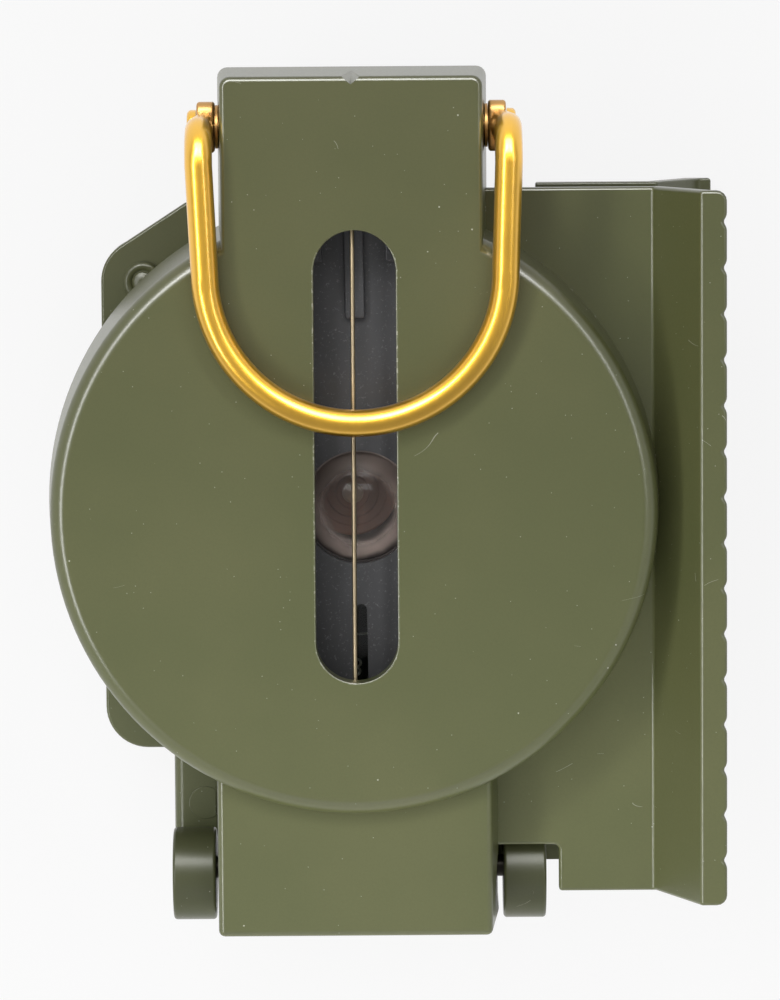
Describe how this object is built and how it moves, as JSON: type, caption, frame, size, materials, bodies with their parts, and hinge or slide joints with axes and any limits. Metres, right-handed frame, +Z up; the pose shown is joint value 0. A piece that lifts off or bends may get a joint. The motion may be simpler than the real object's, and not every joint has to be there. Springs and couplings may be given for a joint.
{
  "type": "pocket compass",
  "caption": "Folding sighting compass in an olive die-cast case: hinged lid with window and wire, lens arm, turning bezel, liquid capsule, ruler wings and brass thumb loop.",
  "frame": {"origin": "on the dial's axis, at the bottom face that the closed compass rests on", "axes": "+Z up through the dial and the lid, +Y towards the thumb loop, +X towards the ruler wings"},
  "size_m": [0.0598, 0.0759, 0.0287],
  "materials": {
    "case_paint": "satin olive paint over die-cast metal",
    "rivet_paint": "satin olive paint over a steel rivet",
    "bezel_paint": "satin olive paint, toothed edge",
    "pin_steel": "plain steel pin",
    "spring_steel": "spring steel washer",
    "magnet_steel": "magnet bar",
    "loop_brass": "lacquered brass wire",
    "wire_brass": "fine brass wire",
    "jewel_copper": "copper cap over the pivot",
    "black_plastic": "satin black moulding",
    "seal_rubber": "black rubber ring",
    "crystal": "clear cover",
    "lens_clear": "clear moulded magnifier",
    "glow_paint": "luminous paint",
    "dial_print": "black card with pale print"
  },
  "bodies": {
    "base": {"base_frame": "case_paint", "bottom_cover": "case_paint", "flange_rivet_1": "rivet_paint", "flange_rivet_2": "rivet_paint", "flange_rivet_3": "rivet_paint", "flange_rivet_4": "rivet_paint", "lid_hinge_pin": "pin_steel", "arm_hinge_pin": "pin_steel", "capsule_cup": "black_plastic", "capsule_seal": "seal_rubber", "capsule_crystal": "crystal", "bezel_spring": "spring_steel", "pivot_needle": "pin_steel"},
    "lid": {"lid_cover": "case_paint", "sight_wire": "wire_brass", "wire_anchor_front": "wire_brass", "wire_anchor_rear": "wire_brass", "loop_screw_left": "loop_brass", "loop_screw_right": "loop_brass"},
    "loop": {"thumb_loop": "loop_brass"},
    "arm": {"lens_arm": "black_plastic", "lens": "lens_clear", "lens_ring": "black_plastic"},
    "bezel": {"bezel_ring": "bezel_paint", "bezel_crystal": "crystal", "marching_line": "glow_paint"},
    "dial": {"dial_card": "dial_print", "dial_magnet": "magnet_steel", "jewel_cap": "jewel_copper"}
  },
  "joints": [
    {"name": "lid_hinge", "type": "hinge", "parent": "base", "child": "lid", "pos_m": [0, -0.0332, 0.013], "axis": [1, 0, 0], "range_deg": [0, 180]},
    {"name": "loop_swing", "type": "hinge", "parent": "lid", "child": "loop", "pos_m": [0, 0.0335, 0.0196], "axis": [-1, 0, 0], "range_deg": [0, 180]},
    {"name": "arm_fold", "type": "hinge", "parent": "base", "child": "arm", "pos_m": [0, 0.0306, 0.0189], "axis": [-1, 0, 0], "range_deg": [0, 90]},
    {"name": "bezel_turn", "type": "hinge", "parent": "base", "child": "bezel", "pos_m": [0, 0, 0.0165], "axis": [0, 0, 1], "continuous": true},
    {"name": "dial_turn", "type": "hinge", "parent": "base", "child": "dial", "pos_m": [0, 0, 0.0098], "axis": [0, 0, 1], "continuous": true}
  ],
  "couplings": [
    {"joint": "arm_fold", "follows": "lid_hinge", "ratio": 0.5}
  ]
}
